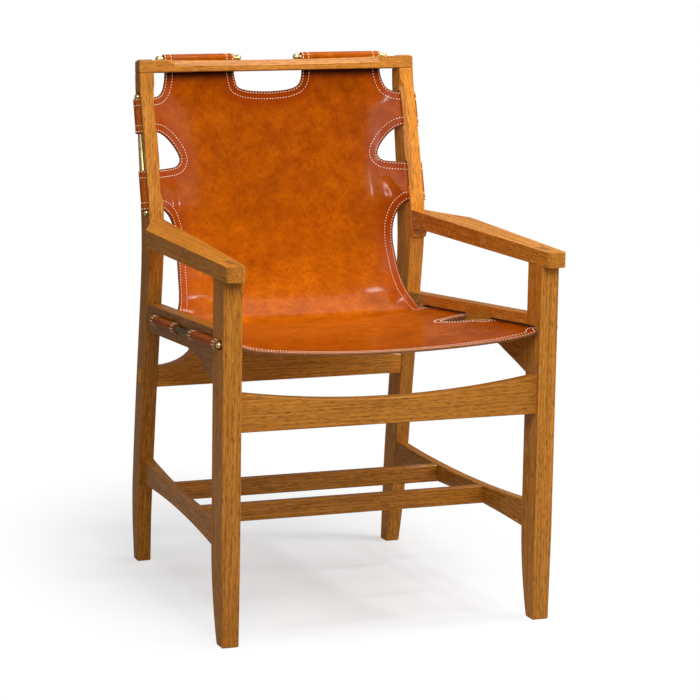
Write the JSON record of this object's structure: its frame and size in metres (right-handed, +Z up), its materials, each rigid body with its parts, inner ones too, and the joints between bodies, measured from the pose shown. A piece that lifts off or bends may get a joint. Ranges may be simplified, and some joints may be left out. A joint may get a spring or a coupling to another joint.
{
  "type": "dining armchair",
  "caption": "Dining armchair with an oak frame and a leather sling seat and back hung on brass rods.",
  "frame": {"origin": "on the floor, at the middle of the chair's box", "axes": "+Z up, +X to the right seen from the front, and the sitter faces -Y"},
  "size_m": [0.5878, 0.6099, 0.8838],
  "materials": {
    "oiled_oak": "oiled oak with open straight grain",
    "tan_leather": "glossy vegetable-tanned saddle leather with cream stitching",
    "brass": "polished, lightly worn"
  },
  "bodies": {
    "root": {"arm_left": "oiled_oak", "arm_right": "oiled_oak", "back_lower_loop_left": "tan_leather", "back_lower_loop_right": "tan_leather", "back_rod_left": "brass", "back_rod_left_knob": "brass", "back_rod_right": "brass", "back_rod_right_knob": "brass", "back_upper_loop_left": "tan_leather", "back_upper_loop_right": "tan_leather", "cross_stretcher_front": "oiled_oak", "cross_stretcher_rear": "oiled_oak", "front_leg_left": "oiled_oak", "front_leg_right": "oiled_oak", "front_rail": "oiled_oak", "leather_sling": "tan_leather", "rear_leg_left": "oiled_oak", "rear_leg_right": "oiled_oak", "rear_rail": "oiled_oak", "seat_front_loop_left": "tan_leather", "seat_front_loop_right": "tan_leather", "seat_rear_loop_left": "tan_leather", "seat_rear_loop_right": "tan_leather", "seat_rod_left": "brass", "seat_rod_left_knob": "brass", "seat_rod_right": "brass", "seat_rod_right_knob": "brass", "side_rail_left": "oiled_oak", "side_rail_right": "oiled_oak", "side_stretcher_left": "oiled_oak", "side_stretcher_right": "oiled_oak", "top_loop_left": "tan_leather", "top_loop_right": "tan_leather", "top_rail": "oiled_oak", "top_rod_left": "brass", "top_rod_left_knob": "brass", "top_rod_right": "brass", "top_rod_right_knob": "brass"}
  },
  "joints": []
}
